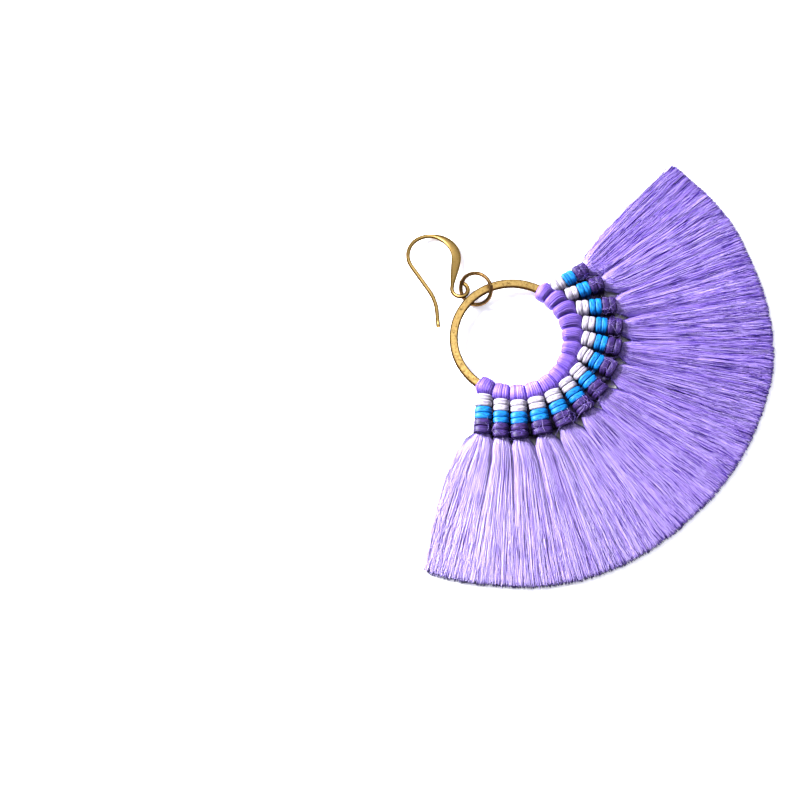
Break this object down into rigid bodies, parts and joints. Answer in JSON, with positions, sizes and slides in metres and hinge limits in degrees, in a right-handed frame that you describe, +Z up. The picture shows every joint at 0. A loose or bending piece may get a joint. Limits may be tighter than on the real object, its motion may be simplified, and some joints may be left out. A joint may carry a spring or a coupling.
{
  "type": "tassel earring",
  "caption": "Fan tassel earring lying face up: a flat brass hoop with lavender thread tassels, knotted on in white, blue and purple cord, on a jump ring and an ear hook",
  "frame": {"origin": "Middle of the bounding box on the ground, in metres", "axes": "+Z up, away from the table the earring lies on face up. The middle of the fringe points along -Y and the ear hook lies at +Y. +X runs across the fan, to the right as seen from above."},
  "size_m": [0.1174, 0.0938, 0.0056],
  "materials": {
    "hoop_brass": "antique brass with light pitting on the face",
    "hook_brass": "satin antique brass wire, hammered flat at the swell",
    "dark_brass": "dark reddish antique bronze",
    "lavender_thread": "silky polyester thread",
    "white_cord": "waxed cord, off-white",
    "blue_cord": "waxed cord, bright blue",
    "purple_cord": "waxed cord, dark purple"
  },
  "bodies": {
    "root": {"hoop_ring": "hoop_brass", "jump_ring": "dark_brass", "ear_hook": "hook_brass", "tassel_01": "lavender_thread", "tassel_02": "lavender_thread", "tassel_03": "lavender_thread", "tassel_04": "lavender_thread", "tassel_05": "lavender_thread", "tassel_06": "lavender_thread", "tassel_07": "lavender_thread", "tassel_08": "lavender_thread", "tassel_09": "lavender_thread", "tassel_10": "lavender_thread", "tassel_11": "lavender_thread", "tassel_12": "lavender_thread", "tassel_13": "lavender_thread", "white_cord": "white_cord", "blue_cord": "blue_cord", "purple_cord": "purple_cord"}
  },
  "joints": []
}
